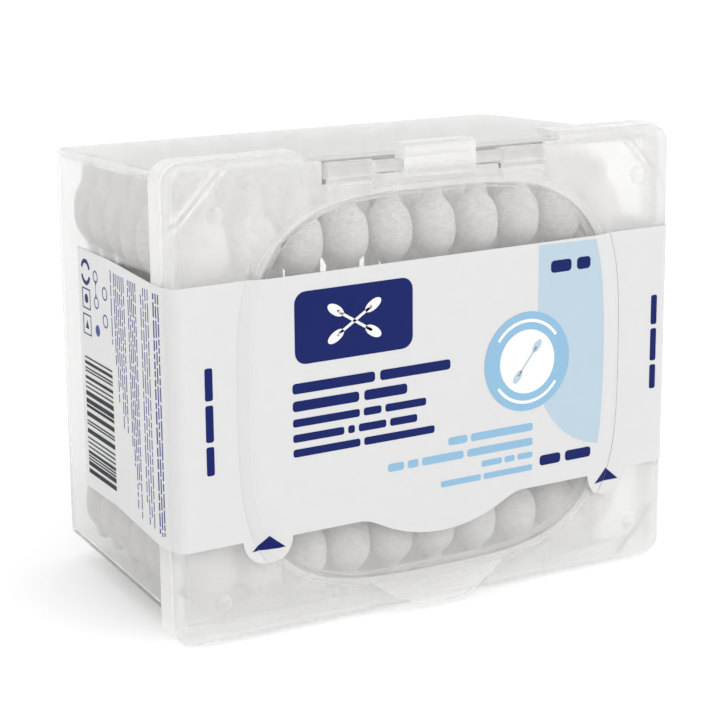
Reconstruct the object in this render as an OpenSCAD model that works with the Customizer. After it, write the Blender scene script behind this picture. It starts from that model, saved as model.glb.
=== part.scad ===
// Cotton swab box: a drafted, open-fronted tub of swabs, closed by a stepped
// press-on front cap with a hinged clear lid, and sealed by a wrap-round label.
// The front of the box faces -Y, +X is to its right and +Z is up.

/* [Front cap] */
// Width of the cap's front band
cap_w = 105; // [95:0.5:120]
// Height of the cap's front band
cap_h = 85.6; // [80:0.2:95]
// Depth of the cap from its front face to its rear edge
cap_depth = 7.6; // [6.8:0.1:9]
// Depth of the smaller front band
front_band = 3.1; // [2.6:0.1:3.3]
// How far the rear band stands proud of the front band
band_step = 0.4; // [0.3:0.05:0.5]
// Wall of the cap
cap_wall = 1.2; // [1:0.1:1.4]
// Corner radius of the front band
cap_corner = 3.5; // [3:0.1:5]
// Rounding of the cap's front edge
cap_edge = 1.9; // [1.4:0.1:2.2]

/* [Tub] */
// Overall depth of the box behind the cap's front face
box_depth = 59.8; // [58:0.1:70]
// Wall of the tub
tub_wall = 1.0; // [0.8:0.05:1.1]
// Taper of each wall between the cap and the back
tub_draft = 1.65; // [1:0.05:2]
// Gap between the front band's side and the tub's side at the cap
side_inset = 1.6; // [1.4:0.1:1.9]
// Gap between the cap's top and the tub's top at the cap
top_inset = 1.9; // [1.7:0.1:2.2]
// Gap between the cap's foot and the tub's floor at the cap
foot_inset = 2.8; // [2.6:0.1:3]

/* [Lid] */
// Half width of the lid's outline
lid_a = 39.5; // [38:0.1:41]
// Half height of the lid's outline
lid_b = 37.1; // [36:0.1:37.3]
// Squareness of the lid's outline, where 2 is an ellipse
lid_n = 3.4; // [3:0.1:4]
// How far the lid stands proud of the cap
lid_proud = 1.0; // [0.9:0.05:1.2]
// Radius of the hinge pin
pin_r = 1.1; // [1:0.05:1.2]
// Play between the pin and its clip
pin_play = 0.05; // [0.03:0.01:0.08]
// Radius of the lid's two hinge barrels
barrel_r = 1.45; // [1.3:0.05:1.5]
// Lean of the pull tab, in degrees
tab_lean = 14; // [8:1:18]

/* [Swabs] */
// Length of a swab
swab_len = 75.5; // [72:0.5:75.5]
// Radius of a paper stick
stick_r = 1.2; // [1:0.05:1.25]
// Bulb radius in the front row
bulb_front = 4.4; // [4:0.05:4.45]
// Spacing of the swabs in the front row
front_pitch = 9.25; // [9:0.05:9.4]
// Bulb radius in the rows behind, which are packed closer
bulb_rear = 3.68; // [3.3:0.02:3.7]
// Spacing of the rows behind, from front to back
rear_pitch = 7.84; // [7.7:0.02:7.86]

/* [Label] */
// Thickness of the label film
film = 0.15; // [0.1:0.05:0.2]
// Height of the label's top edge at its middle
label_top = 65.6; // [60:0.1:68]
// Height of the label's bottom edge at its middle
label_foot = 18.65; // [17:0.1:20]
// Rise of the label across each millimetre of width, as it was applied
label_skew = 0.0135; // [0:0.0005:0.015]
// How far the label runs back along each side
label_back = 48.6; // [40:0.1:50]

/* [Hidden] */
$fn = 48;
eps = 0.01;
rear_w = cap_w + 2 * band_step;
rear_h = cap_h + 2 * band_step;
// lowest point of the cap's rear band is the floor
lift = band_step;
mid_z = cap_h / 2;
// depth of the tab's lip in front of the cap's face
tab_len = 6.9;
tab_root_z = 7.2;
tab_front = lid_proud + tab_len * sin(tab_lean);
shift_y = -(box_depth - tab_front) / 2;
// hinge axis, measured from the cap's front face and foot
hinge_y = 0.5;
hinge_z = cap_h - 3.0;
lid_z = 42.3;
open_gap = 1.2;
barrel_in = 13.5;
pin_end = 14.1;
barrel_out = 22.7;
clip_half = 7.3;
notch_half = 23.5;
skirt_gap = 26.8;
tub_r = 1.5;
function run(y) = (y - cap_depth) / (box_depth - cap_depth);
function tub_half(y) = cap_w / 2 - side_inset - tub_draft * run(y);
function tub_low(y) = foot_inset + tub_draft * run(y);
function tub_high(y) = cap_h - top_inset - tub_draft * run(y);
mouth_y = 3.4;

// closed barrel-sided outline, centred on the lid
function barrel_pts(a, b, n = lid_n, count = 96) =
    [for (i = [0 : count - 1]) let (t = 360 * i / count, c = cos(t), s = sin(t))
        [a * sign(c) * pow(abs(c), 2 / n), b * sign(s) * pow(abs(s), 2 / n)]];

module barrel_2d(inset) { translate([0, lid_z]) polygon(barrel_pts(lid_a - inset, lid_b - inset)); }

module round_rect(w, h, r) {
    union() {
        square([w - 2 * r, h], center = true);
        square([w, h - 2 * r], center = true);
        for (sx = [-1, 1], sz = [-1, 1]) translate([sx * (w / 2 - r), sz * (h / 2 - r)]) circle(r = r, $fn = 48);
    }
}

// extrude a front-view outline from depth y0 to depth y1
module deep(y0, y1) { translate([0, y1, 0]) rotate([90, 0, 0]) linear_extrude(y1 - y0) children(); }

// move from the cap's own frame to the box's frame
module placed() { translate([0, shift_y, lift]) children(); }

// ---------- tub ----------
module tub_shell(w) {
    r = w > 0 ? 1 : tub_r;
    hull() for (y = [-6, box_depth - w - r], sx = [-1, 1], z = [tub_low(y) + w + r, tub_high(y) - w - r])
        translate([sx * (tub_half(y) - w - r), y, z]) sphere(r = r, $fn = 32);
}
module tub() {
    color([0.93, 0.94, 0.94, 0.5]) placed() {
        difference() {
            union() {
                tub_shell(0);
                // rim that the cap presses over
                translate([0, 0, mid_z]) deep(mouth_y, mouth_y + 1.6)
                    round_rect(rear_w - 2 * cap_wall - 0.2, rear_h - 2 * cap_wall - 0.2, 2.6);
            }
            tub_shell(tub_wall);
            // the open front
            translate([-60, mouth_y - 30, -10]) cube([120, 30, 120]);
        }
    }
}

// ---------- front cap ----------
module cap_outer() {
    translate([0, 0, mid_z]) {
        hull() for (t = [0 : 18 : 90]) let (i = cap_edge * (1 - cos(t)), y = cap_edge * (1 - sin(t)))
            deep(y, y + eps) round_rect(cap_w - 2 * i, cap_h - 2 * i, cap_corner - i);
        deep(cap_edge, front_band) round_rect(cap_w, cap_h, cap_corner);
        deep(front_band, cap_depth) round_rect(rear_w, rear_h, cap_corner + band_step);
    }
}
module cap_hollow() {
    translate([0, 0, mid_z]) {
        deep(cap_wall, front_band + eps) round_rect(cap_w - 2 * cap_wall, cap_h - 2 * cap_wall, cap_corner - cap_wall);
        deep(front_band, cap_depth + 1)
            round_rect(rear_w - 2 * cap_wall, rear_h - 2 * cap_wall, cap_corner + band_step - cap_wall);
    }
}
module gussets() {
    leg = 11;
    for (sx = [-1, 1], top = [0, 1]) let (zc = top == 1 ? cap_h : 0, s = top == 1 ? -1 : 1)
        deep(cap_wall - eps, front_band - 0.15) intersection() {
            polygon([[sx * (cap_w / 2 - leg), zc], [sx * (cap_w / 2), zc + s * leg],
                     [sx * (cap_w / 2), zc + s * (leg + 1.8)], [sx * (cap_w / 2 - leg - 1.8), zc]]);
            translate([0, mid_z]) round_rect(cap_w - 2 * cap_wall + 0.4, cap_h - 2 * cap_wall + 0.4, cap_corner - cap_wall);
        }
}
module studs() {
    ball = 2.41;
    for (sx = [-1, 1], z = [7.6, cap_h - 9])
        translate([sx * (cap_w / 2 - 8.2), 0, z]) intersection() {
            translate([0, ball - 0.7, 0]) sphere(r = ball, $fn = 48);
            deep(-1, 0.5) circle(r = 2.2);
        }
}
module front_cap() {
    color([0.95, 0.95, 0.95, 0.5]) placed() {
        difference() {
            union() {
                difference() {
                    union() {
                        difference() { cap_outer(); cap_hollow(); }
                        gussets();
                        studs();
                    }
                    // window behind the lid
                    deep(-2, cap_wall + 0.5) barrel_2d(open_gap);
                    // gap in the skirt over the hinge
                    translate([-skirt_gap, cap_wall, cap_h - 4]) cube([2 * skirt_gap, cap_depth, 6]);
                    translate([-skirt_gap, -1, hinge_z + barrel_r + 0.25]) cube([2 * skirt_gap, cap_depth, 6]);
                        // shallow round marks either side of the tab
                    for (x = [-22.1, 23.5]) deep(-1, 0.12) translate([x, 4.45]) circle(r = 1.4);
                    // notches for the lid's two barrels, and a shallower one for the pin between them
                    for (s = [-1, 1]) translate([s > 0 ? barrel_in - 0.5 : -notch_half, -1, hinge_z - barrel_r - 0.95])
                        cube([notch_half - barrel_in + 0.5, cap_depth, 8]);
                    translate([-barrel_in, -1, hinge_z - pin_r - 0.3]) cube([2 * barrel_in, cap_depth, 8]);
                }
                // clip block over the hinge pin, with a rounded brow
                rotate([90, 0, 90]) translate([0, 0, -clip_half]) linear_extrude(2 * clip_half)
                    union() {
                        translate([-1.3, hinge_z - 2.1]) square([3.9, 4.6]);
                        translate([0, hinge_z - 2.1]) square([2.6, 5.9]);
                        translate([0, hinge_z + 2.5]) circle(r = 1.3);
                    }
                // seat that the lid's catch rests over, behind the window's foot
                translate([-14.5, cap_wall - eps, 4.4]) cube([18, 0.7, 1.8]);
                translate([-clip_half, 0, hinge_z - 3.5]) cube([2 * clip_half, cap_wall, 4]);
            }
            // seat for the pin and the mouth that it presses in through
            translate([-clip_half - 1, hinge_y, hinge_z]) rotate([0, 90, 0]) cylinder(r = pin_r + pin_play, h = 2 * clip_half + 2);
            translate([-clip_half - 1, hinge_y, hinge_z - 0.8]) cube([2 * clip_half + 2, 4, 1.6]);
        }
        // beads that hold the tub's rim
        for (sx = [-1, 1], z = [mid_z - 22, mid_z + 22])
            translate([sx * (rear_w / 2 - cap_wall + 0.05), mouth_y + 1.6 + 0.5, z - 8])
                cylinder(r = 0.4, h = 16, $fn = 32);
        for (x = [-38, 0, 38])
            translate([x - 8, mouth_y + 1.6 + 0.5, band_step * -1 + cap_wall - 0.05])
                rotate([0, 90, 0]) cylinder(r = 0.4, h = 16, $fn = 32);
    }
}

// ---------- lid ----------
// rounded pillow of the lid's face; grow is added all round
module lid_pillow(grow = 0) {
    hull() for (k = [[0.05, 0], [0.4, 0.25], [0.72, 0.8], [0.92, 1.6], [1, 2.4]])
        deep(-k[0] * lid_proud - (k[0] > 0.1 ? grow : 0), -k[0] * lid_proud + eps) barrel_2d(k[1] - grow);
}
module pull_tab() {
    big = 20.8;
    translate([0, -lid_proud, tab_root_z]) rotate([-tab_lean, 0, 0]) {
        intersection() {
            deep(0, 0.9) translate([0, big - tab_len]) circle(r = big, $fn = 96);
            translate([-20, -1, -10]) cube([40, 3, 10.2]);
        }
        // raised grip bars
        for (i = [0 : 2]) translate([-5 + i * 0.6, -0.25, -2.4 - i * 1.3]) cube([10 - i * 1.2, 0.3, 0.5]);
    }
}
module lid() {
    color([0.97, 0.97, 0.97, 0.35]) placed() {
        difference() {
            union() {
                lid_pillow();
                // skirt that plugs the cap's window
                deep(-0.3, 2.0) difference() { barrel_2d(open_gap + 0.25); barrel_2d(open_gap + 0.85); }
                // catch under the window's lower edge
                translate([-9, 1.45, lid_z - lid_b + open_gap + 0.12]) cube([18, 0.5, 1.0]);
                pull_tab();
                // hinge flanges and barrels
                for (s = [-1, 1]) {
                    translate([s > 0 ? barrel_in : -barrel_out, -0.8, lid_z + 31])
                        cube([barrel_out - barrel_in, 0.75, hinge_z - lid_z - 31]);
                    // flat front of the barrel, a step proud of its flange
                    translate([s > 0 ? barrel_in : -barrel_out, -1.2, hinge_z - 1.15])
                        cube([barrel_out - barrel_in, 1.7, 2.3]);
                    translate([s > 0 ? barrel_in : -barrel_out, hinge_y, hinge_z])
                        rotate([0, 90, 0]) cylinder(r = barrel_r, h = barrel_out - barrel_in);
                }
                translate([-pin_end, hinge_y, hinge_z]) rotate([0, 90, 0]) cylinder(r = pin_r, h = 2 * pin_end);
            }
        }
    }
}

// ---------- label ----------
function smin(a, b, k) = let (h = max(k - abs(a - b), 0) / k) min(a, b) - h * h * k / 4;
function tongue(x) = abs(x) > 19 ? 99 : 13.85 + 28 - sqrt(28 * 28 - x * x);
function foot_at(x) = smin(label_foot + label_skew * x, tongue(x - 0.3), 1.4);
module label_front(x0, x1) {
    steps = 64;
    union() {
        polygon(concat([for (i = [0 : steps]) let (x = x0 + (x1 - x0) * i / steps) [x, foot_at(x)]],
                       [[x1, label_top + label_skew * x1], [x0, label_top + label_skew * x0]]));
        // round ears where the label is torn open
        for (x = [-35.5, 38]) if (x > x0 && x < x1)
            translate([x, label_foot + label_skew * x]) circle(r = 4.65);
    }
}
// top view of the film from the window's side round to the back of one flank, drawn for the left
arc_r = cap_edge;
// the film bridges from the cap's rear edge to here, and is stuck to the tub from here back
rest_y = 33;
tent_out = 1.1;
gap = 0.02;
function flank_line(o) =
    let (xh = cap_w / 2, xr = rear_w / 2)
    concat([[-(tub_half(label_back) + o), label_back], [-(tub_half(rest_y) + o), rest_y],
            [-(xr + o), cap_depth], [-(xr + o), front_band - 0.1], [-(xh + o), front_band - 0.7]],
           [for (t = [0 : 15 : 90]) [-(xh - arc_r) - (arc_r + o) * cos(t), arc_r - (arc_r + o) * sin(t)]]);
module flank_2d() {
    a = flank_line(gap + film);
    b = flank_line(gap);
    polygon(concat(a, [for (i = [len(b) - 1 : -1 : 0]) b[i]]));
}
// one side of the wrap; s is -1 on the left and 1 on the right
module side_wrap(s) {
    zt = label_top + s * label_skew * cap_w / 2;
    zf = label_foot + s * label_skew * cap_w / 2;
    rise = s * 0.008;
    union() {
        intersection() {
            translate([0, 0, 5]) linear_extrude(72) scale([-s, 1]) flank_2d();
            translate([s > 0 ? 0 : -100, 0, 0]) rotate([90, 0, 90]) linear_extrude(100)
                polygon([[-2, zf], [0, zf], [label_back + 1, zf + rise * label_back],
                         [label_back + 1, zt + rise * label_back], [0, zt], [-2, zt]]);
        }
        // flat part on the cap's face, up to the lid's edge
        intersection() {
            deep(-gap - film, -gap) difference() {
                if (s < 0) label_front(-cap_w / 2 + arc_r - eps, -20); else label_front(20, cap_w / 2 - arc_r + eps);
                barrel_2d(-tent_out - film - gap - 0.04);
            }
            translate([-60, -5, 0]) cube([120, 10, 90]);
        }
    }
}
module label_left_wrap() { color([0.96, 0.96, 0.96]) placed() side_wrap(-1); }
module label_right_wrap() { color([0.96, 0.96, 0.96]) placed() side_wrap(1); }
// the film's form over the lid: it follows the face and runs off the rim in a slope
module tent(grow) {
    hull() {
        for (k = [[0.4, 0.25], [0.72, 0.8], [0.92, 1.6], [1, 2.4]])
            deep(-k[0] * lid_proud - grow, -k[0] * lid_proud) barrel_2d(k[1] - grow);
        deep(-0.05 - grow * 0.2, -0.04) barrel_2d(-tent_out - grow);
    }
}
module label_lid_panel() {
    color([0.93, 0.94, 0.95]) placed() intersection() {
        difference() { tent(gap + film); tent(gap); }
        deep(-3, -0.045) label_front(-45, 45);
    }
}

// ---------- swabs ----------
// The front row stands in line. Each row behind it zigzags, so that its heads nest.
front_n = 10;
front_y = 7.4;
zig_n = 15;
zig_y0 = 15.55;
function zig_y(i, c) = zig_y0 + (i - 1) * rear_pitch + (c % 2 == 0 ? rear_pitch / 2 : 0);
function zig_x(i, c) = (c - (zig_n - 1) / 2) / ((zig_n - 1) / 2)
    * (tub_half(zig_y(i, c)) - tub_wall - bulb_rear - 0.15);
// places in each row; the last row is short
function slots(i) = i == 0 ? [0 : front_n - 1] : i == 6 ? [3 : 2 : 11] : [0 : zig_n - 1];
function row_bulb(i) = i == 0 ? bulb_front : bulb_rear;
function spot(i, k) = i == 0 ? [(k - (front_n - 1) / 2) * front_pitch - 1.2, front_y] : [zig_x(i, k), zig_y(i, k)];
function spot_z(p) = tub_low(p[1]) + tub_wall + 0.12;

// wound head: a nib, a round bulb and a collar that runs out on the stick
// A wound head: a thin end of length neck, then the bulb, widest at w
module tip(rb, neck, w) {
    n = 1.8;
    g = rb - n;
    f = w - neck;
    rotate_extrude($fn = 32)
        polygon([[0, 0], [0.95, 0.25], [1.5, 0.8], [1.76, 1.6], [n, 2.2], [n + g * 0.08, neck], [n + g * 0.39, neck + f * 0.16],
                 [n + g * 0.67, neck + f * 0.31], [n + g * 0.89, neck + f * 0.61], [rb, w], [n + g * 0.9, w + 1.9],
                 [n + g * 0.72, w + 3], [n + g * 0.2, w + 4.6], [1.62, w + 5.4], [stick_r + 0.02, w + 6.2],
                 [stick_r + 0.02, 2.5], [0, 2.5]]);
}
module tips_row(i) {
    color([0.98, 0.98, 0.97]) placed()
        for (k = slots(i)) let (p = spot(i, k)) translate([p[0], p[1], spot_z(p)]) {
            tip(row_bulb(i), 2.7, 7.8);
            translate([0, 0, swab_len]) mirror([0, 0, 1]) tip(row_bulb(i), 4.3, 10.4);
        }
}
module sticks_row(i) {
    color([0.99, 0.99, 0.98]) placed()
        for (k = slots(i)) let (p = spot(i, k)) translate([p[0], p[1], spot_z(p) + 2.55])
            cylinder(r = stick_r, h = swab_len - 5.1, $fn = 32);
}

tub();
front_cap();
lid();
label_left_wrap();
label_lid_panel();
label_right_wrap();
sticks_row(0);  // swab_sticks_row_1
sticks_row(1);  // swab_sticks_row_2
sticks_row(2);  // swab_sticks_row_3
sticks_row(3);  // swab_sticks_row_4
sticks_row(4);  // swab_sticks_row_5
sticks_row(5);  // swab_sticks_row_6
sticks_row(6);  // swab_sticks_row_7
tips_row(0);  // swab_tips_row_1
tips_row(1);  // swab_tips_row_2
tips_row(2);  // swab_tips_row_3
tips_row(3);  // swab_tips_row_4
tips_row(4);  // swab_tips_row_5
tips_row(5);  // swab_tips_row_6
tips_row(6);  // swab_tips_row_7
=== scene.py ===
import bpy, bmesh, math, random
import numpy as np
from mathutils import Vector, Matrix
from mathutils.bvhtree import BVHTree
from mathutils.geometry import tessellate_polygon


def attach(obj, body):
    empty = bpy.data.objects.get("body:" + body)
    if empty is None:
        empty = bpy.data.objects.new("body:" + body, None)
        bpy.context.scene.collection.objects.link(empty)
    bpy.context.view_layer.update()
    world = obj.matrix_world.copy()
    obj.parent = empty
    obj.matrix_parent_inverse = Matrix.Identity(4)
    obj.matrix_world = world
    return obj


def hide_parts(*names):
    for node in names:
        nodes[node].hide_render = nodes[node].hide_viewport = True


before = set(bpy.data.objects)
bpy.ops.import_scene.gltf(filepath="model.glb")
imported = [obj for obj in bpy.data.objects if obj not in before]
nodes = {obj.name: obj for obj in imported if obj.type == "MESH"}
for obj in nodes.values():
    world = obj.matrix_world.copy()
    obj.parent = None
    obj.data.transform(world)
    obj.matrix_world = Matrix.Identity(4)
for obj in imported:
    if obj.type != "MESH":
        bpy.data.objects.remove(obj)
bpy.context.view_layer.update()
MM = 0.001

# ---------- the box's own measures, in millimetres, in the cap's frame ----------
TAB_FRONT = 1.0 + 6.9 * math.sin(math.radians(14))
SHIFT_Y = -(59.8 - TAB_FRONT) / 2
LIFT = 0.4
CAP_W, CAP_H, CAP_D, BOX_D = 105.0, 85.6, 7.6, 59.8
FOOT, TOP, SIDE, DRAFT, WALL = 2.8, 1.9, 1.6, 1.65, 1.0


def at(x, y, z):
    """A point of the cap's frame, x from the left flank, in metres in the row's frame."""
    return Vector(((x - CAP_W / 2) * MM, (y + SHIFT_Y) * MM, (z + LIFT) * MM))


def tub_half(y):
    return CAP_W / 2 - SIDE - DRAFT * (y - CAP_D) / (BOX_D - CAP_D)


def tub_low(y):
    return FOOT + DRAFT * (y - CAP_D) / (BOX_D - CAP_D)


def lin(r, g, b, a=1.0):
    f = lambda c: (c / 255 / 12.92) if c / 255 <= 0.04045 else ((c / 255 + 0.055) / 1.055) ** 2.4
    return (f(r), f(g), f(b), a)


# ---------- materials ----------
class Mat:
    def __init__(self, name):
        self.m = bpy.data.materials.new(name)
        self.m.use_nodes = True
        self.t = self.m.node_tree
        self.t.nodes.clear()
        self.out = self.t.nodes.new("ShaderNodeOutputMaterial")

    def n(self, kind, **sets):
        node = self.t.nodes.new(kind)
        for k, v in sets.items():
            if k.startswith("_"):
                node.inputs[k[1:].replace("_", " ")].default_value = v
            else:
                setattr(node, k, v)
        return node

    def link(self, a, b):
        self.t.links.new(a, b)

    def noise(self, scale, detail=4.0, rough=0.55, stretch=None):
        co = self.n("ShaderNodeTexCoord")
        src = co.outputs["Object"]
        if stretch:
            mp = self.n("ShaderNodeMapping")
            mp.inputs["Scale"].default_value = stretch
            self.link(src, mp.inputs["Vector"])
            src = mp.outputs["Vector"]
        t = self.n("ShaderNodeTexNoise")
        t.inputs["Scale"].default_value = scale
        t.inputs["Detail"].default_value = detail
        t.inputs["Roughness"].default_value = rough
        self.link(src, t.inputs["Vector"])
        return t.outputs["Fac"]

    def ramp(self, fac, lo, hi, c0, c1):
        r = self.n("ShaderNodeMapRange")
        r.inputs["From Min"].default_value = lo
        r.inputs["From Max"].default_value = hi
        r.inputs["To Min"].default_value = c0
        r.inputs["To Max"].default_value = c1
        self.link(fac, r.inputs["Value"])
        return r.outputs["Result"]

    def mixcol(self, fac, a, b):
        m = self.n("ShaderNodeMix", data_type="RGBA")
        self.link(fac, m.inputs["Factor"])
        m.inputs["A"].default_value = a
        m.inputs["B"].default_value = b
        return m.outputs["Result"]

    def bump(self, height, strength, distance, after=None):
        b = self.n("ShaderNodeBump")
        b.inputs["Strength"].default_value = strength
        b.inputs["Distance"].default_value = distance
        self.link(height, b.inputs["Height"])
        if after is not None:
            self.link(after, b.inputs["Normal"])
        return b.outputs["Normal"]


def see_through(name, tint, rough, ior, haze_face, haze_edge, skin_share, edge_scatter_and_glint=0.0, edge_scatter_and_glint_r=0.3, speck=0.0, gloss=0.5, passes=0.98, skin_white=0.72, frosted_above=None, misted_below=None, milk_white=0.97):
    """Moulded clear or frosted plastic: a glass-like body with a milky share, which grows where the wall is seen edge
    on and along its edges, where the extra share is partly the plastic's own scatter and partly a painted highlight.
    """
    k = Mat(name)
    glass = k.n("ShaderNodeBsdfPrincipled")
    glass.inputs["Base Color"].default_value = tint
    glass.inputs["Roughness"].default_value = rough
    glass.inputs["IOR"].default_value = ior
    glass.inputs["Transmission Weight"].default_value = 1.0
    glass.inputs["Coat Weight"].default_value = gloss
    glass.inputs["Coat Roughness"].default_value = 0.12
    glass.inputs["Coat IOR"].default_value = 1.45
    milk = k.n("ShaderNodeBsdfTranslucent")
    milk.inputs["Color"].default_value = (milk_white, milk_white * 0.997, milk_white * 0.99, 1)
    skin = k.n("ShaderNodeBsdfPrincipled")
    skin.inputs["Base Color"].default_value = (skin_white, skin_white * 0.997, skin_white * 0.99, 1)
    skin.inputs["Roughness"].default_value = 0.32
    k.link(k.bump(k.noise(2300.0, 3.0), 0.3, 0.00005), skin.inputs["Normal"])
    body = k.n("ShaderNodeMixShader")
    body.inputs[0].default_value = skin_share
    k.link(milk.outputs[0], body.inputs[1])
    k.link(skin.outputs[0], body.inputs[2])
    lw = k.n("ShaderNodeLayerWeight")
    lw.inputs["Blend"].default_value = 0.35
    fac = k.ramp(lw.outputs["Facing"], 0.0, 1.0, haze_face, haze_edge)
    cloud = k.ramp(k.noise(60.0, 3.0), 0.3, 0.7, 0.9, 1.1)
    mul = k.n("ShaderNodeMath", operation="MULTIPLY")
    k.link(fac, mul.inputs[0])
    k.link(cloud, mul.inputs[1])
    share = mul.outputs[0]
    if speck:
        sp = k.n("ShaderNodeMath", operation="MULTIPLY")
        k.link(share, sp.inputs[0])
        k.link(k.ramp(k.noise(1500.0, 2.0, 0.7), 0.3, 0.7, 1 - speck, 1 + speck), sp.inputs[1])
        share = sp.outputs[0]
    if frosted_above is not None:
        # the hinge end of the moulding is matt
        co = k.n("ShaderNodeTexCoord")
        xyz = k.n("ShaderNodeSeparateXYZ")
        k.link(co.outputs["Object"], xyz.inputs[0])
        lo = frosted_above * MM
        more = k.n("ShaderNodeMath", operation="ADD")
        k.link(share, more.inputs[0])
        k.link(k.ramp(xyz.outputs["Z"], lo - 0.0006, lo + 0.0006, 0.0, 0.16), more.inputs[1])
        share = more.outputs[0]
        k.link(k.ramp(xyz.outputs["Z"], lo - 0.0006, lo + 0.0006, rough, 0.3), glass.inputs["Roughness"])
    if misted_below is not None:
        # the foot of the moulding is a little cloudier
        co = k.n("ShaderNodeTexCoord")
        xyz = k.n("ShaderNodeSeparateXYZ")
        k.link(co.outputs["Object"], xyz.inputs[0])
        lo = misted_below * MM
        more = k.n("ShaderNodeMath", operation="ADD")
        k.link(share, more.inputs[0])
        k.link(k.ramp(xyz.outputs["Z"], lo - 0.006, lo + 0.004, 0.06, 0.0), more.inputs[1])
        share = more.outputs[0]
    add = k.n("ShaderNodeMath", operation="ADD", use_clamp=True)
    k.link(share, add.inputs[0])
    add.inputs[1].default_value = 0.0
    if edge_scatter_and_glint:
        # sharp moulded edges turn milkier: partly the plastic's own scatter, partly a painted highlight standing in for
        # the glints along them
        bev = k.n("ShaderNodeBevel", samples=3)
        bev.inputs["Radius"].default_value = edge_scatter_and_glint_r * MM
        geo = k.n("ShaderNodeNewGeometry")
        dot = k.n("ShaderNodeVectorMath", operation="DOT_PRODUCT")
        k.link(bev.outputs["Normal"], dot.inputs[0])
        k.link(geo.outputs["Normal"], dot.inputs[1])
        k.link(k.ramp(dot.outputs["Value"], 0.8, 0.97, edge_scatter_and_glint, 0.0), add.inputs[1])
    mix = k.n("ShaderNodeMixShader")
    k.link(add.outputs[0], mix.inputs[0])
    k.link(glass.outputs[0], mix.inputs[1])
    k.link(body.outputs[0], mix.inputs[2])
    # lamps reach what is behind the wall
    lp = k.n("ShaderNodeLightPath")
    tr = k.n("ShaderNodeBsdfTransparent")
    tr.inputs["Color"].default_value = (passes, passes, passes, 1)
    last = k.n("ShaderNodeMixShader")
    k.link(lp.outputs["Is Shadow Ray"], last.inputs[0])
    k.link(mix.outputs[0], last.inputs[1])
    k.link(tr.outputs[0], last.inputs[2])
    k.link(last.outputs[0], k.out.inputs["Surface"])
    return k.m


WHITE = (0.995, 0.995, 0.992, 1)
m_tub = see_through("tub_plastic", (0.965, 0.965, 0.966, 1), 0.12, 1.3, 0.09, 0.27, 0.7, 0.4, 0.3, gloss=0.4, skin_white=0.72, milk_white=0.86)
m_cap = see_through("cap_plastic", (0.99, 0.99, 0.988, 1), 0.31, 1.3, 0.36, 0.62, 0.78, 0.4, 0.3, speck=0.35, gloss=0.3, skin_white=0.94)
m_lid = see_through("lid_plastic", (0.985, 0.985, 0.983, 1), 0.05, 1.07, 0.15, 0.42, 0.8, 0.4, 0.28, gloss=0.45, skin_white=0.8, frosted_above=80.2, misted_below=18.0)


def film(name, colour, rough=0.34, wave=True, spec=0.35, through=0.0):
    k = Mat(name)
    p = k.n("ShaderNodeBsdfPrincipled")
    mottle = k.ramp(k.noise(420.0, 4.0), 0.3, 0.7, 0.0, 1.0)
    dark = tuple(c * 0.985 for c in colour[:3]) + (1,)
    k.link(k.mixcol(mottle, dark, colour), p.inputs["Base Color"])
    rr = k.ramp(k.noise(300.0, 3.0), 0.3, 0.7, rough - 0.04, rough + 0.05)
    k.link(rr, p.inputs["Roughness"])
    p.inputs["Specular IOR Level"].default_value = spec
    nrm = k.bump(k.noise(2600.0, 3.0), 0.12, 0.00002)
    if wave:
        nrm = k.bump(k.noise(45.0, 2.0), 0.1, 0.0004, nrm)
    k.link(nrm, p.inputs["Normal"])
    if through:
        tl = k.n("ShaderNodeBsdfTranslucent")
        tl.inputs["Color"].default_value = (0.8, 0.8, 0.795, 1)
        mx = k.n("ShaderNodeMixShader")
        mx.inputs[0].default_value = through
        k.link(p.outputs[0], mx.inputs[1])
        k.link(tl.outputs[0], mx.inputs[2])
        k.link(mx.outputs[0], k.out.inputs["Surface"])
    else:
        k.link(p.outputs[0], k.out.inputs["Surface"])
    return k.m


m_label = film("label_white", (0.765, 0.765, 0.763, 1), through=0.2)
m_navy = film("ink_navy", lin(8, 26, 92), 0.5, False, spec=0.15)
m_sky = film("ink_pale_blue", lin(175, 193, 206), 0.4, False)
m_blue = film("ink_light_blue", lin(133, 176, 204), 0.4, False)
m_fine = film("ink_fine", lin(58, 72, 130), 0.5, False, spec=0.15)
m_black = film("ink_dark", lin(22, 24, 30), 0.5, False, spec=0.15)
m_paperwhite = film("ink_white", (0.8, 0.8, 0.8, 1), 0.4, False)


def cotton():
    k = Mat("cotton_wound")
    p = k.n("ShaderNodeBsdfPrincipled")
    fib = k.noise(1500.0, 6.0, 0.72, (1.0, 1.0, 2.8))
    tuft = k.noise(620.0, 4.0, 0.6, (1.0, 1.0, 1.8))
    fine = k.noise(3600.0, 4.0, 0.7, (1.0, 1.0, 2.2))
    mx = k.n("ShaderNodeMath", operation="ADD")
    k.link(k.ramp(fib, 0.32, 0.66, 0.0, 0.6), mx.inputs[0])
    k.link(k.ramp(tuft, 0.32, 0.66, 0.0, 0.4), mx.inputs[1])
    k.link(k.mixcol(mx.outputs[0], (0.46, 0.44, 0.424, 1), (0.84, 0.813, 0.792, 1)), p.inputs["Base Color"])
    p.inputs["Roughness"].default_value = 0.95
    p.inputs["Specular IOR Level"].default_value = 0.1
    p.inputs["Sheen Weight"].default_value = 0.3
    p.inputs["Sheen Roughness"].default_value = 0.5
    nrm = k.bump(tuft, 0.4, 0.0004)
    nrm = k.bump(fib, 0.6, 0.00034, nrm)
    nrm = k.bump(fine, 0.5, 0.0001, nrm)
    k.link(nrm, p.inputs["Normal"])
    k.link(p.outputs[0], k.out.inputs["Surface"])
    return k.m


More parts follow.
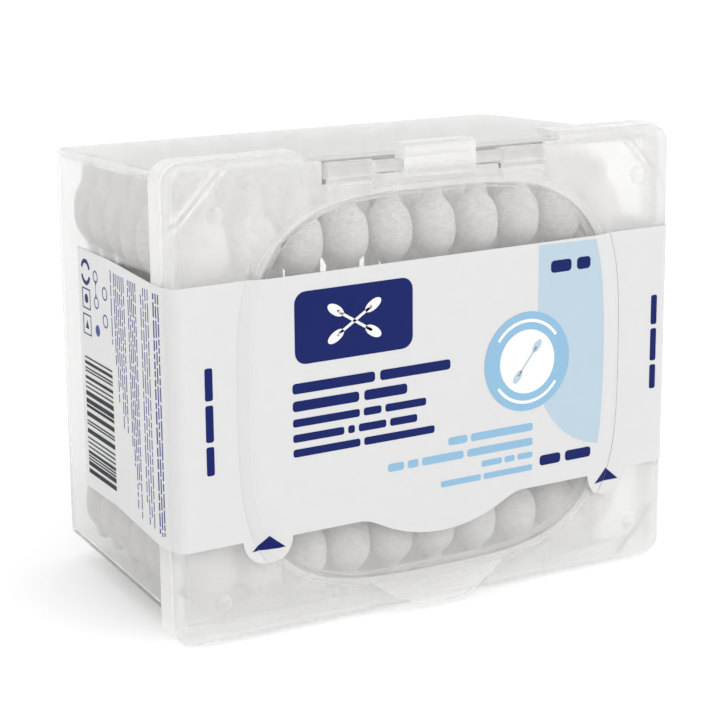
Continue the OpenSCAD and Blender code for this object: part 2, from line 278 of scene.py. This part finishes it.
def paper():
    k = Mat("rolled_paper")
    p = k.n("ShaderNodeBsdfPrincipled")
    col = k.mixcol(k.ramp(k.noise(500.0, 5.0), 0.3, 0.7, 0, 1), (0.88, 0.872, 0.85, 1), (0.95, 0.945, 0.93, 1))
    k.link(col, p.inputs["Base Color"])
    p.inputs["Roughness"].default_value = 0.75
    p.inputs["Specular IOR Level"].default_value = 0.25
    k.link(k.bump(k.noise(2200.0, 4.0, 0.6, (1, 1, 0.2)), 0.3, 0.00004), p.inputs["Normal"])
    k.link(p.outputs[0], k.out.inputs["Surface"])
    return k.m


m_cotton, m_paper = cotton(), paper()


def give(obj, mat):
    for s in obj.material_slots:
        s.material = mat
    if not obj.material_slots:
        obj.data.materials.append(mat)


give(nodes["tub"], m_tub)
give(nodes["front_cap"], m_cap)
give(nodes["lid"], m_lid)
for n in ("label_left_wrap", "label_lid_panel", "label_right_wrap"):
    give(nodes[n], m_label)
for i in range(1, 8):
    give(nodes[f"swab_sticks_row_{i}"], m_paper)

# ---------- swab heads ----------
BULB_F, BULB_R, PITCH_F, PITCH_R, SWAB = 4.4, 3.68, 9.25, 7.84, 75.5


def spots(i):
    if i == 0:
        return [((k - 4.5) * PITCH_F - 1.2, 7.4) for k in range(10)]
    out = []
    for c in (range(3, 12, 2) if i == 6 else range(15)):
        y = 15.55 + (i - 1) * PITCH_R + (PITCH_R / 2 if c % 2 == 0 else 0)
        out.append(((c - 7) / 7 * (tub_half(y) - WALL - BULB_R - 0.15), y))
    return out


def profile(rb, neck, w):
    """Radius of a wound head at each distance from its tip: a thin end of length neck, then the bulb, widest at w."""
    n = 1.8
    g = rb - n
    f = (w - neck) / 6.1
    d = [0.0, 0.1, 0.4, 0.9, 1.6, 2.2, 2.5] + [neck - 0.2 * f, neck + 0.3 * f, neck + 0.8 * f, neck + 1.3 * f, neck + 1.8 * f, neck + 2.5 * f,
         neck + 3.5 * f, neck + 4.7 * f, w, w + 1.2, w + 2.1, w + 2.8, w + 3.4, w + 4.0, w + 4.6, w + 5.2, w + 5.8, w + 6.2]
    r = [0.0, 0.65, 1.2, 1.58, 1.76, 1.8, 1.81, n + g * .05, n + g * .16, n + g * .33, n + g * .51, n + g * .66, n + g * .8, n + g * .91,
         n + g * .98, rb, n + g * .965, n + g * .89, n + g * .78, n + g * .63, n + g * .43, n + g * .22, 1.74, 1.45, 1.22]
    return np.array(d), np.array(r)


def smooth_curve(d, r, count):
    """Monotone-ish resample of the profile by arc length."""
    s = np.concatenate([[0], np.cumsum(np.hypot(np.diff(d), np.diff(r)))])
    t = np.linspace(0, s[-1], count)
    from_d, from_r = np.interp(t, s, d), np.interp(t, s, r)
    for _ in range(2):
        from_d[1:-1] = (from_d[:-2] + 2 * from_d[1:-1] + from_d[2:]) / 4
        from_r[1:-1] = (from_r[:-2] + 2 * from_r[1:-1] + from_r[2:]) / 4
    return from_d, from_r


def heads(i):
    rb = BULB_F if i == 0 else BULB_R
    nt, nd = (56, 60) if i == 0 else (28, 36)
    rng = np.random.default_rng(100 + i)
    shapes = [smooth_curve(*profile(rb, neck, w), nd) for (neck, w) in ((2.8, 7.8), (4.3, 10.4))]
    th = np.linspace(0, 2 * math.pi, nt, endpoint=False)
    V, F = [], []
    base = 0
    for (x, y) in spots(i):
        z0 = tub_low(y) + WALL + 0.12
        for end in (0, 1):
            d, r = shapes[end][0] * rng.uniform(0.96, 1.035), shapes[end][1]
            T, D = np.meshgrid(th, d, indexing="xy")
            ph = rng.uniform(0, 2 * math.pi, 10)
            twist = rng.uniform(-0.25, 0.25)
            lump = (0.35 * np.sin(2 * T + ph[0] + D * twist) * np.exp(-((D - 10.4) / 4.0) ** 2)
                    + 0.22 * np.sin(3 * T + ph[1] - D * 0.35)
                    + 0.16 * np.sin(5 * T + ph[2] + D * 0.9)
                    + 0.12 * np.sin(8 * T + ph[3] - D * 1.7)
                    + 0.10 * np.sin(13 * T + ph[4] + D * 2.6)
                    + 0.12 * np.sin(D * 1.3 + ph[5])
                    + 0.09 * np.sin(D * 5.1 + 2.0 * np.sin(T + ph[6]) + ph[7]))
            shrink = rng.uniform(0.97, 0.995)
            R = r[:, None] * (shrink + 0.02 * lump * np.clip(D / 2.0, 0, 1))
            wx = rng.uniform(-0.10, 0.10) * np.clip((12 - D) / 12, 0, 1)
            wy = rng.uniform(-0.10, 0.10) * np.clip((12 - D) / 12, 0, 1)
            X = x + R * np.cos(T) + wx
            Y = y + R * np.sin(T) + wy
            Z = z0 + (D if end == 0 else SWAB - D)
            X[0], Y[0] = X[0].mean(), Y[0].mean()
            pts = np.stack([X, Y, Z], -1)
            V.append(np.concatenate([pts[0, :1], pts[1:].reshape(-1, 3)]))
            flip = end == 1
            for a in range(nt):
                b = (a + 1) % nt
                f = (base, base + 1 + b, base + 1 + a)
                F.append(f[::-1] if flip else f)
            for j in range(nd - 2):
                o = base + 1 + j * nt
                for a in range(nt):
                    b = (a + 1) % nt
                    f = (o + a, o + b, o + nt + b, o + nt + a)
                    F.append(f[::-1] if flip else f)
            last = base + 1 + (nd - 2) * nt
            f = tuple(last + a for a in range(nt))
            F.append(f[::-1] if flip else f)
            base += 1 + (nd - 1) * nt
    V = np.concatenate(V)
    V = np.stack([(V[:, 0]) * MM, (V[:, 1] + SHIFT_Y) * MM, (V[:, 2] + LIFT) * MM], -1)
    me = bpy.data.meshes.new(f"cotton_row_{i+1}")
    me.from_pydata(V.tolist(), [], F)
    me.polygons.foreach_set("use_smooth", [len(p.vertices) < 5 for p in me.polygons])
    me.update()
    ob = bpy.data.objects.new(f"cotton_row_{i+1}", me)
    bpy.context.scene.collection.objects.link(ob)
    me.materials.append(m_cotton)
    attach(ob, "box")
    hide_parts(f"swab_tips_row_{i+1}")
    return ob


for i in range(7):
    heads(i)

# ---------- print on the label ----------
trees = {}
for n in ("label_left_wrap", "label_lid_panel", "label_right_wrap"):
    trees[n] = BVHTree.FromPolygons([v.co.copy() for v in nodes[n].data.vertices], [tuple(p.vertices) for p in nodes[n].data.polygons])


def rounded(x0, z0, x1, z1, r, seg=5):
    pts = []
    for cx, cz, a0 in ((x1 - r, z1 - r, 0), (x0 + r, z1 - r, 90), (x0 + r, z0 + r, 180), (x1 - r, z0 + r, 270)):
        for k in range(seg + 1):
            a = math.radians(a0 + 90 * k / seg)
            pts.append((cx + r * math.cos(a), cz + r * math.sin(a)))
    return pts


def disc(cx, cz, r, n=64):
    return [(cx + r * math.cos(2 * math.pi * k / n), cz + r * math.sin(2 * math.pi * k / n)) for k in range(n)]


def ring(cx, cz, r0, r1, n=72, a0=0.0, a1=360.0):
    """A ring or an arc, as quads."""
    out = []
    for k in range(n):
        p, q = math.radians(a0 + (a1 - a0) * k / n), math.radians(a0 + (a1 - a0) * (k + 1) / n)
        out.append([(cx + r0 * math.cos(p), cz + r0 * math.sin(p)), (cx + r1 * math.cos(p), cz + r1 * math.sin(p)),
                    (cx + r1 * math.cos(q), cz + r1 * math.sin(q)), (cx + r0 * math.cos(q), cz + r0 * math.sin(q))])
    return out


def turned(poly, cx, cz, deg):
    c, s = math.cos(math.radians(deg)), math.sin(math.radians(deg))
    return [(cx + (x - cx) * c - (z - cz) * s, cz + (x - cx) * s + (z - cz) * c) for x, z in poly]


SKEW = 0.0135


def printed(name, polys, on, mat, body, side=None, grid=None, lift=0.03, skew=True):
    """Thin ink pieces laid on the label. polys are in the plane of the face: x and z on the front, depth and z on a flank."""
    bm = bmesh.new()
    for poly in polys:
        if side is None and skew:
            poly = [(x, z + SKEW * (x - 52.5)) for x, z in poly]
        vs = [bm.verts.new((x * MM, 0, z * MM)) for x, z in poly]
        tris = tessellate_polygon([[Vector((x, z, 0)) for x, z in poly]])
        for t in tris:
            try:
                bm.faces.new([vs[j] for j in t])
            except ValueError:
                pass
    bmesh.ops.remove_doubles(bm, verts=bm.verts, dist=1e-7)
    if grid:
        xs = [v.co.x for v in bm.verts]
        zs = [v.co.z for v in bm.verts]
        for axis, lo, hi in ((0, min(xs), max(xs)), (2, min(zs), max(zs))):
            c = lo + grid * MM
            while c < hi:
                no = [0, 0, 0]
                no[axis] = 1
                co = [0, 0, 0]
                co[axis] = c
                bmesh.ops.bisect_plane(bm, geom=bm.verts[:] + bm.edges[:] + bm.faces[:], plane_co=co, plane_no=no, dist=1e-8)
                c += grid * MM
    tree = trees[on]
    for v in bm.verts:
        if side is None:
            p = at(v.co.x / MM, 0, v.co.z / MM)
            hit = tree.ray_cast(Vector((p.x, -0.06, p.z)), Vector((0, 1, 0)))
            y = hit[0].y if hit[0] is not None else (SHIFT_Y - 0.17) * MM
            v.co = Vector((p.x, y - lift * MM, p.z))
        else:
            p = at(0, v.co.x / MM, v.co.z / MM)
            hit = tree.ray_cast(Vector((side * 0.08, p.y, p.z)), Vector((-side, 0, 0)))
            x = hit[0].x if hit[0] is not None else side * 0.0505
            v.co = Vector((x + side * lift * MM, p.y, p.z))
    bm.normal_update()
    want = Vector((0, -1, 0)) if side is None else Vector((side, 0, 0))
    for f in bm.faces:
        if f.normal.dot(want) < 0:
            f.normal_flip()
    bmesh.ops.solidify(bm, geom=bm.faces[:], thickness=0.02 * MM)
    me = bpy.data.meshes.new(name)
    bm.to_mesh(me)
    bm.free()
    ob = bpy.data.objects.new(name, me)
    bpy.context.scene.collection.objects.link(ob)
    me.materials.append(mat)
    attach(ob, body)
    return ob


def words(x0, x1, z, h, cuts):
    """A line of plain word-length bars, ending at x1. cuts are the word lengths as shares."""
    gap = h * 0.55
    total = x1 - x0 - gap * (len(cuts) - 1)
    s = sum(cuts)
    out, x = [], x0
    for c in cuts:
        w = total * c / s
        out.append(rounded(x, z, x + w, z + h, h * 0.32))
        x += w + gap
    return out


P, L = "label_lid_panel", "label_left_wrap"
R = "label_right_wrap"
# emblem: a plain field with a crossed pair of buds
printed("print_emblem", [rounded(22.6, 49.6, 46.6, 62.6, 2.2)], P, m_navy, "lid")


def bud(cx, cz, deg, s=1.0):
    stick = [(cx - 5.2 * s, cz - 0.32 * s), (cx + 5.2 * s, cz - 0.32 * s), (cx + 5.2 * s, cz + 0.32 * s), (cx - 5.2 * s, cz + 0.32 * s)]
    out = [turned(stick, cx, cz, deg)]
    for e in (-1, 1):
        head = []
        for k in range(28):
            a = 2 * math.pi * k / 28
            head.append((cx + e * 5.6 * s + 2.3 * s * math.cos(a), cz + (1.15 * s) * math.sin(a)))
        out.append(turned(head, cx, cz, deg))
    return out


printed("print_emblem_buds", bud(34.6, 56.1, 32, 0.8) + bud(34.6, 56.1, -32, 0.8), P, m_paperwhite, "lid", lift=0.055)
lines = (words(22, 54.6, 44.4, 1.9, [9, 8]) + words(22, 45.4, 41.2, 1.9, [6, 4]) + words(22, 49.4, 38.4, 1.45, [11, 3, 7])
         + words(22, 47.5, 35.6, 1.45, [9, 1.2, 5, 5]) + words(22, 51.2, 32.9, 1.45, [11, 12]))
printed("print_lines_navy", lines, P, m_navy, "lid")
blue = (words(54.2, 72.9, 29.9, 1.5, [3, 10]) + words(41.3, 72.9, 27.0, 1.5, [3, 2, 8, 13])
        + words(61.5, 72.9, 24.6, 1.15, [4, 2, 3]) + words(52.6, 72.9, 22.1, 1.15, [8, 10]))
printed("print_lines_blue", blue, P, m_blue, "lid")
printed("print_count", words(74.6, 86.4, 22.6, 2.0, [4, 5]), P, m_navy, "lid")
band = [(73.9, 65.4), (86.9, 65.4), (87.8, 61.9), (88.5, 57.2), (89.0, 50.1), (89.1, 43.5), (89.0, 37.5), (88.5, 28.8), (88.0, 25.4),
        (85.5, 26.0), (82.6, 27.2), (79.8, 29.1), (77.4, 31.6), (75.5, 34.5), (74.3, 37.6), (73.9, 40.0)]
printed("print_band", [band], P, m_sky, "lid", skew=False)
printed("print_badge", [disc(71.5, 43.7, 9.5)], P, m_blue, "lid", lift=0.055, skew=False)
printed("print_badge_disc", [disc(71.5, 43.7, 6.1)], P, m_paperwhite, "lid", lift=0.08, skew=False)
printed("print_badge_bud", bud(71.5, 43.7, 52, 0.62), P, m_sky, "lid", lift=0.105, skew=False)
printed("print_badge_arcs", ring(71.5, 43.7, 7.5, 8.1, 30, 35, 145) + ring(71.5, 43.7, 7.5, 8.1, 30, 215, 325), P, m_paperwhite, "lid", lift=0.08, skew=False)
printed("print_mark", words(76.6, 85.6, 59.6, 2.3, [3, 2]), P, m_navy, "lid", lift=0.055)
# upright lines either side of the lid
printed("print_left_line", [rounded(5.6, a, 7.1, b, 0.4) for a, b in ((32.0, 37.2), (38.0, 44.6), (45.4, 51.2))], L, m_navy, "box")
printed("print_right_line", [rounded(100.9, a, 102.3, b, 0.4) for a, b in ((33.6, 38.4), (39.2, 45.6), (46.4, 52.2))], R, m_navy, "box")
# arrows on the ears, cut where the lid's edge parts the label


def lid_edge(z, s):
    """x of the lid's outline at height z, on the left for s = -1."""
    return 52.5 + s * 40.79 * max(0.0, 1 - abs((z - 42.3) / 38.39) ** 3.4) ** (1 / 3.4)


def arrow(apex, b0, b1, s):
    lid_part, box_part = [], []
    tri = [apex, b0, b1]

    def span(z):
        xs = []
        for (xa, za), (xb, zb) in zip(tri, tri[1:] + tri[:1]):
            if abs(zb - za) > 1e-9 and min(za, zb) - 1e-9 <= z <= max(za, zb) + 1e-9:
                xs.append(xa + (xb - xa) * (z - za) / (zb - za))
        return min(xs), max(xs)

    zs = np.linspace(min(p[1] for p in tri) + 0.01, max(p[1] for p in tri) - 0.01, 26)
    for z0, z1 in zip(zs[:-1], zs[1:]):
        (l0, r0), (l1, r1) = span(z0), span(z1)
        for part, inside in ((lid_part, True), (box_part, False)):
            q = []
            for z, l, r in ((z0, l0, r0), (z1, l1, r1)):
                e = lid_edge(z, s) - s * (0.03 if inside else -0.03)
                if (s < 0) == inside:
                    l = max(l, e)
                else:
                    r = min(r, e)
                q.append((l, r, z))
            if all(r - l > 0.02 for l, r, z in q):
                cols = 6
                for c in range(cols):
                    u, v = c / cols, (c + 1) / cols
                    part.append([(q[0][0] + (q[0][1] - q[0][0]) * u, q[0][2]), (q[0][0] + (q[0][1] - q[0][0]) * v, q[0][2]),
                                 (q[1][0] + (q[1][1] - q[1][0]) * v, q[1][2]), (q[1][0] + (q[1][1] - q[1][0]) * u, q[1][2])])
    return lid_part, box_part


for nm, on, s_, pts in (("left", L, -1, ((17.0, 18.9), (14.0, 16.1), (20.2, 16.4))), ("right", R, 1, ((90.8, 19.8), (87.7, 17.1), (93.8, 17.2)))):
    on_lid, on_box = arrow(*pts, s_)
    if on_lid:
        printed(f"print_arrow_{nm}_lid", on_lid, P, m_navy, "lid", skew=False)
    if on_box:
        printed(f"print_arrow_{nm}_wrap", on_box, on, m_navy, "box", skew=False)

# left flank: upright lines of fine print as plain bars, a striped block and plain marks
rnd = random.Random(7)


def fine_line(y, top, foot, w):
    out, z = [], top
    while z > foot + 0.5:
        n = min(rnd.uniform(0.9, 3.6), z - foot)
        out.append([(y - w / 2, z - n), (y + w / 2, z - n), (y + w / 2, z), (y - w / 2, z)])
        z -= n + rnd.uniform(0.3, 0.55)
    return out


fine = []
for y, top, foot, w in ((4.5, 63.4, 20.2, 0.42), (5.5, 63.4, 19.9, 0.42), (6.5, 63.3, 19.9, 0.5),
                        (9.3, 63.4, 20.3, 0.4), (10.6, 63.3, 22.0, 0.4), (11.9, 63.2, 20.2, 0.4), (13.2, 61.8, 24.0, 0.4),
                        (16.4, 63.2, 20.0, 0.4), (17.5, 63.1, 26.0, 0.4), (18.6, 63.1, 21.0, 0.4), (19.7, 63.0, 29.0, 0.4), (20.8, 63.0, 32.1, 0.4),
                        (23.4, 62.9, 34.2, 0.4), (24.6, 62.8, 37.0, 0.4), (25.8, 62.8, 34.5, 0.4), (27.0, 62.7, 42.0, 0.4), (28.2, 62.7, 38.8, 0.4), (29.3, 62.7, 45.5, 0.4),
                        (31.3, 62.9, 49.0, 0.42)):
    fine += fine_line(y, top, foot, w)
printed("print_fine_lines", fine, L, m_fine, "box", side=-1)
bars, z = [], 20.6
while z < 43.6:
    t = rnd.choice((0.3, 0.3, 0.6, 0.9))
    bars.append([(32.3, z), (46.8, z), (46.8, z + t), (32.3, z + t)])
    z += t + rnd.choice((0.3, 0.3, 0.6, 0.8))
printed("print_stripes", bars, L, m_black, "box", side=-1)
marks = ring(44.6, 60.3, 1.7, 2.5, 40, 20, 160) + ring(44.6, 60.3, 1.7, 2.5, 40, 200, 340)
for cz in (55.2, 50.2):
    for q in ((42.6, cz - 2, 46.7, cz - 1.75), (42.6, cz + 1.75, 46.7, cz + 2), (42.6, cz - 1.75, 42.85, cz + 1.75), (46.45, cz - 1.75, 46.7, cz + 1.75)):
        marks.append([(q[0], q[1]), (q[2], q[1]), (q[2], q[3]), (q[0], q[3])])
marks += [disc(44.65, 55.2, 0.9, 24), [(43.8, 49.4), (45.5, 49.4), (44.65, 51.1)]]
printed("print_marks", marks, L, m_navy, "box", side=-1)
faint = (ring(39.5, 60.2, 0.9, 1.2, 24) + ring(39.4, 55.3, 0.9, 1.2, 24) + [disc(39.2, 50.0, 1.1, 24)]
         + bud(39.5, 57.8, 90, 0.22) + ring(34.9, 57.8, 1.0, 1.3, 24) + ring(35.0, 52.6, 1.0, 1.3, 24))
printed("print_marks_light", faint, L, m_fine, "box", side=-1)

# ---------- camera, light, floor ----------
cam = bpy.data.cameras.new("camera")
cam.sensor_width = 36
cam.lens = 102.13
co = bpy.data.objects.new("camera", cam)
bpy.context.scene.collection.objects.link(co)
fwd, up = Vector((0.4793, 0.8452, -0.2363)).normalized(), Vector((0.1241, 0.2013, 0.9716))
right = fwd.cross(up).normalized()
up = right.cross(fwd).normalized()
rot = Matrix((right, up, -fwd)).transposed().to_4x4()
co.matrix_world = Matrix.Translation(at(-138.3, -307.9, 134.3)) @ rot
cam.clip_start = 0.01
bpy.context.scene.camera = co

world = bpy.data.worlds.new("studio")
bpy.context.scene.world = world
world.use_nodes = True
bg = world.node_tree.nodes["Background"]
bg.inputs["Color"].default_value = (1, 1, 1, 1)
bg.inputs["Strength"].default_value = 1.0


def lamp(name, pos, target, size, power):
    l = bpy.data.lights.new(name, "AREA")
    l.shape = "RECTANGLE"
    l.size, l.size_y = size
    l.energy = power
    o = bpy.data.objects.new(name, l)
    bpy.context.scene.collection.objects.link(o)
    o.location = pos
    o.rotation_euler = (Vector(target) - Vector(pos)).to_track_quat("-Z", "Y").to_euler()
    return o


for (name, power, spread, way) in (("key", 0.7, 50, (-0.5, 0.75, -0.5)), ("edge", 0.05, 13, (0.16, -0.9, -0.42)), ("fill", 0.25, 70, (0.9, 0.2, -0.35))):
    sun = bpy.data.lights.new(name, "SUN")
    sun.energy = power
    sun.angle = math.radians(spread)
    so = bpy.data.objects.new(name, sun)
    bpy.context.scene.collection.objects.link(so)
    so.rotation_euler = Vector(way).to_track_quat("-Z", "Y").to_euler()

me = bpy.data.meshes.new("floor")
me.from_pydata([(-4, -4, 0), (4, -4, 0), (4, 4, 0), (-4, 4, 0)], [], [(0, 1, 2, 3)])
floor = bpy.data.objects.new("floor", me)
bpy.context.scene.collection.objects.link(floor)
k = Mat("floor_white")
p = k.n("ShaderNodeBsdfPrincipled")
p.inputs["Base Color"].default_value = (0.9, 0.9, 0.9, 1)
p.inputs["Roughness"].default_value = 0.9
# a lit white table
p.inputs["Emission Color"].default_value = (1, 1, 1, 1)
p.inputs["Emission Strength"].default_value = 0.18
k.link(p.outputs[0], k.out.inputs["Surface"])
me.materials.append(k.m)
bpy.context.scene.view_settings.view_transform = "Standard"
# light passes many thin clear walls on its way in and out
cy = bpy.context.scene.cycles
cy.max_bounces, cy.diffuse_bounces, cy.transmission_bounces, cy.transparent_max_bounces = 16, 7, 14, 20
